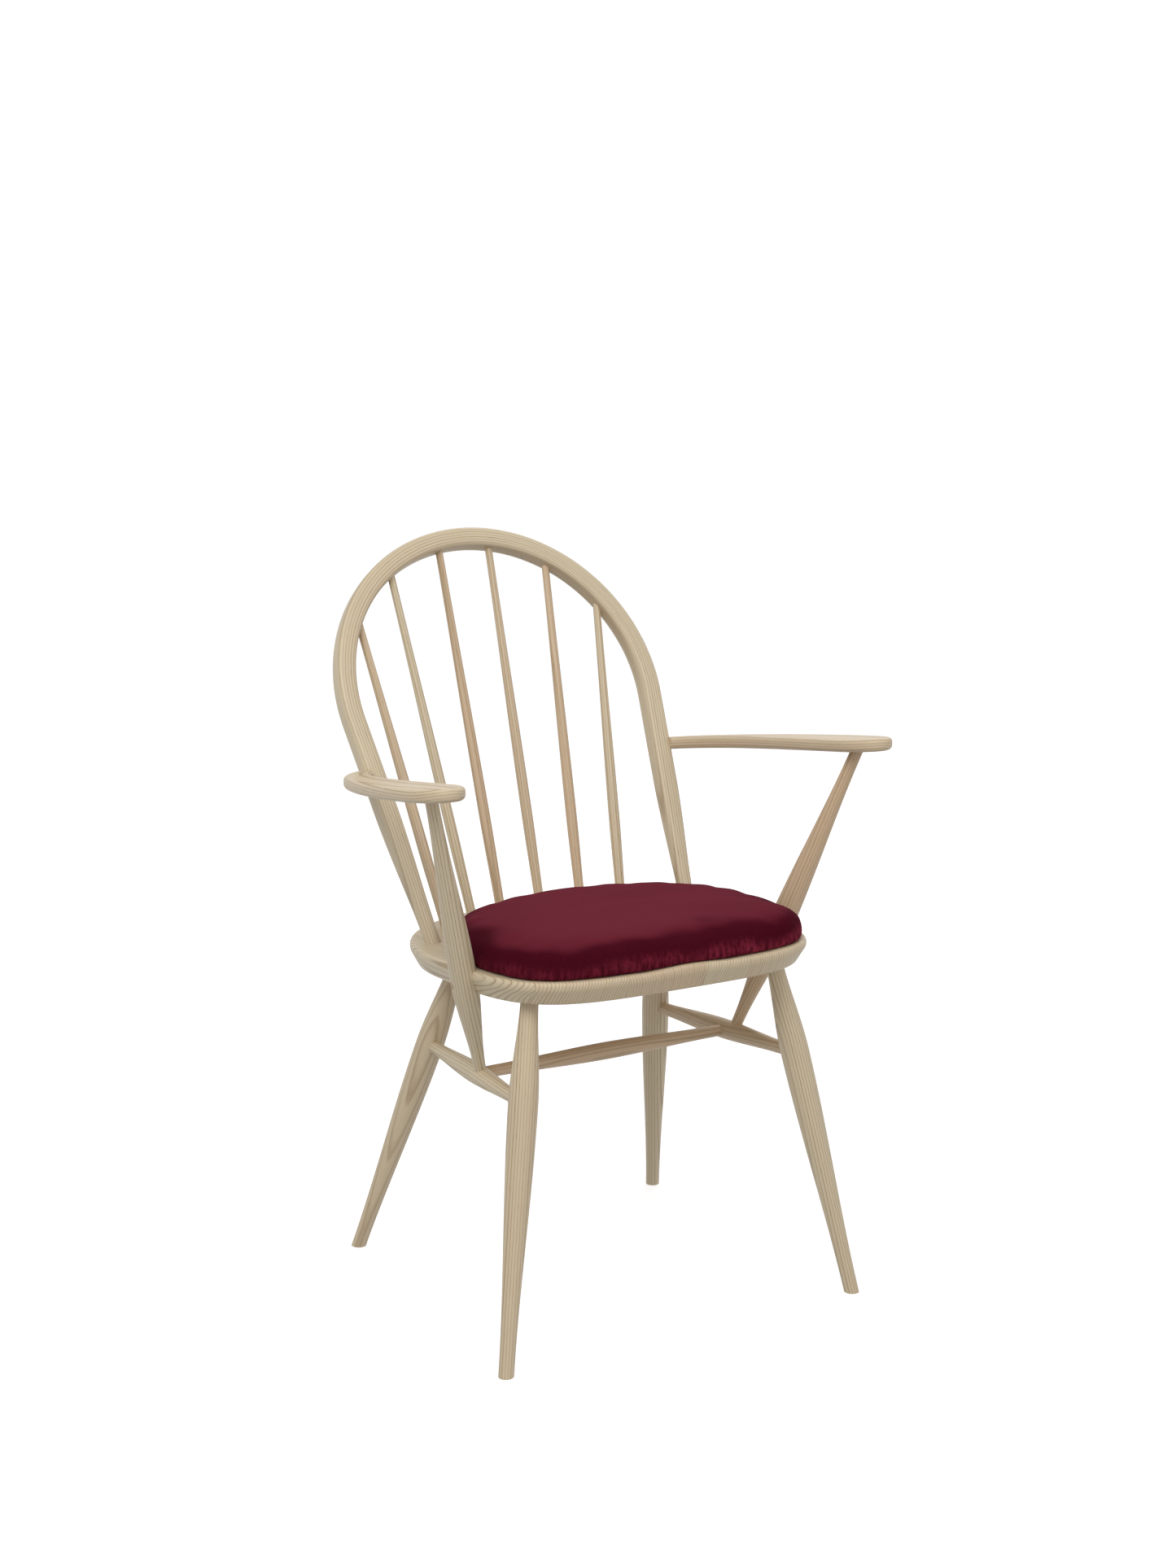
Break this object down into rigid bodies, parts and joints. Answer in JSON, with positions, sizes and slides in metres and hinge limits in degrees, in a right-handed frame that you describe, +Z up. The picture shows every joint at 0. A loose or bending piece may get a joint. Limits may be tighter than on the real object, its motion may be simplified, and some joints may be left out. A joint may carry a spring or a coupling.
{
  "type": "wooden armchair",
  "caption": "Windsor-style ash armchair with a bent hoop back, turned spindles and splayed legs, flat curved arms and a loose upholstered seat cushion.",
  "frame": {"origin": "middle of the footprint, on the floor under the feet", "axes": "+Z up, the sitter faces -Y, +X to the sitter's left"},
  "size_m": [0.6236, 0.5696, 0.8804],
  "materials": {
    "ash": "pale ash with a matt clear finish and visible grain",
    "ash_end_grain": "bare ash end grain, matt",
    "velvet": "wine-red velvet with a short soft pile",
    "foam": "open-cell cushion foam",
    "base_cloth": "plain dark woven lining"
  },
  "bodies": {
    "frame": {"arm_dowel_left": "ash_end_grain", "arm_dowel_right": "ash_end_grain", "arm_left": "ash", "arm_right": "ash", "arm_stump_left": "ash", "arm_stump_right": "ash", "hoop": "ash", "hoop_wedge_left": "ash_end_grain", "hoop_wedge_right": "ash_end_grain", "leg_front_left": "ash", "leg_front_right": "ash", "leg_rear_left": "ash", "leg_rear_right": "ash", "leg_wedge_front_left": "ash_end_grain", "leg_wedge_front_right": "ash_end_grain", "leg_wedge_rear_left": "ash_end_grain", "leg_wedge_rear_right": "ash_end_grain", "seat_board_1": "ash", "seat_board_2": "ash", "seat_board_3": "ash", "seat_board_4": "ash", "seat_board_5": "ash", "seat_board_6": "ash", "spindle_1": "ash", "spindle_2": "ash", "spindle_3": "ash", "spindle_4": "ash", "spindle_5": "ash", "spindle_6": "ash", "stretcher_cross": "ash", "stretcher_side_left": "ash", "stretcher_side_right": "ash", "stump_dowel_left": "ash_end_grain", "stump_dowel_right": "ash_end_grain"},
    "cushion": {"cushion_base_cloth": "base_cloth", "cushion_cover": "velvet", "cushion_foam": "foam"}
  },
  "joints": [
    {"name": "cushion_lift", "type": "slide", "parent": "frame", "child": "cushion", "axis": [0, 0, 1], "range_m": [0, 0.25]}
  ]
}
